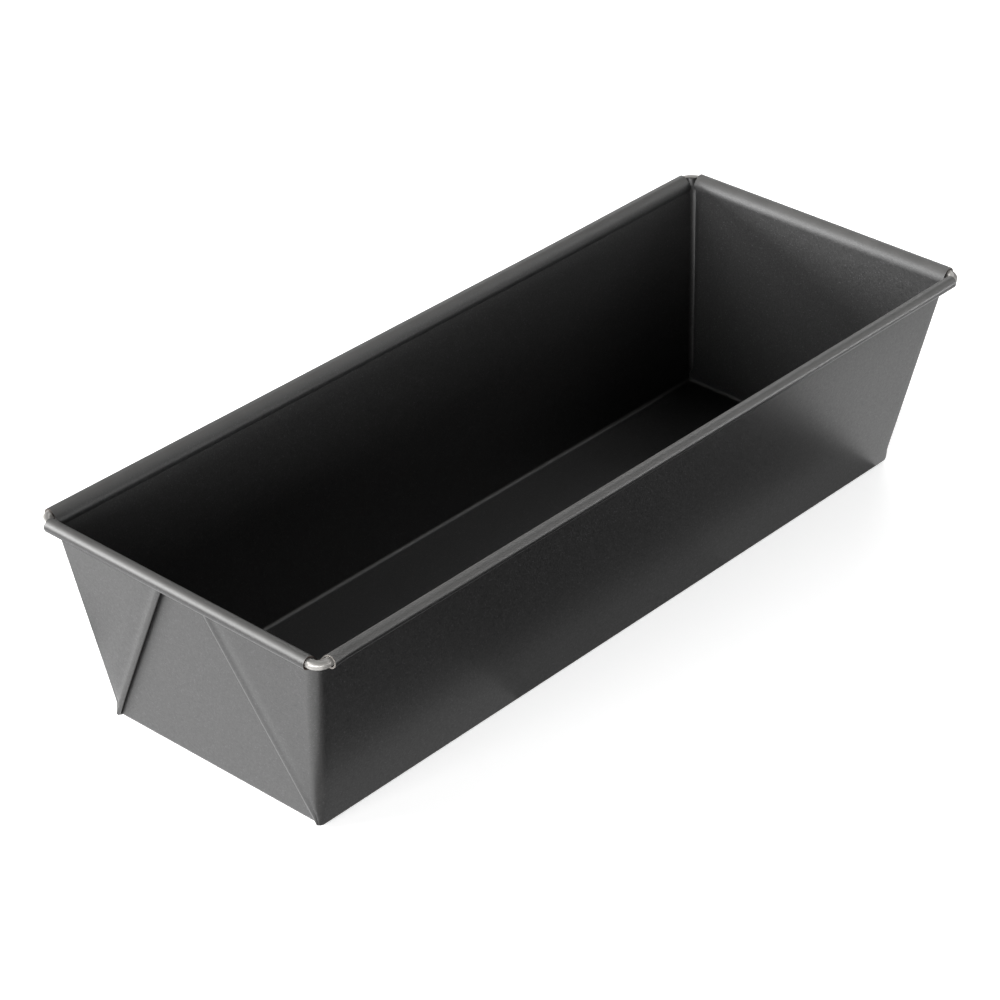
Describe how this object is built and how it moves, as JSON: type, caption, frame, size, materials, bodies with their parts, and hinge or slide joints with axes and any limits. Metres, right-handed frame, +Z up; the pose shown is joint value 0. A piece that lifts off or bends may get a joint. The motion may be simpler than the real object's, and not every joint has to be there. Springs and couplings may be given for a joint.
{
  "type": "loaf pan",
  "caption": "Long narrow loaf pan with flared walls, folded corner gussets and a rim rolled round a bare-cornered steel wire.",
  "frame": {"origin": "middle of the floor's underside, in the plane that the pan stands on", "axes": "+X along the pan's length, +Y across its width, +Z up out of the open mouth"},
  "size_m": [0.3, 0.1126, 0.0699],
  "materials": {
    "nonstick_coat": "satin charcoal non-stick coat with fine sparkle and orange peel on thin steel sheet",
    "bright_wire": "bright drawn steel wire, faintly streaked along its length"
  },
  "bodies": {
    "root": {"pan_body": "nonstick_coat", "rim_wire": "bright_wire"}
  },
  "joints": []
}
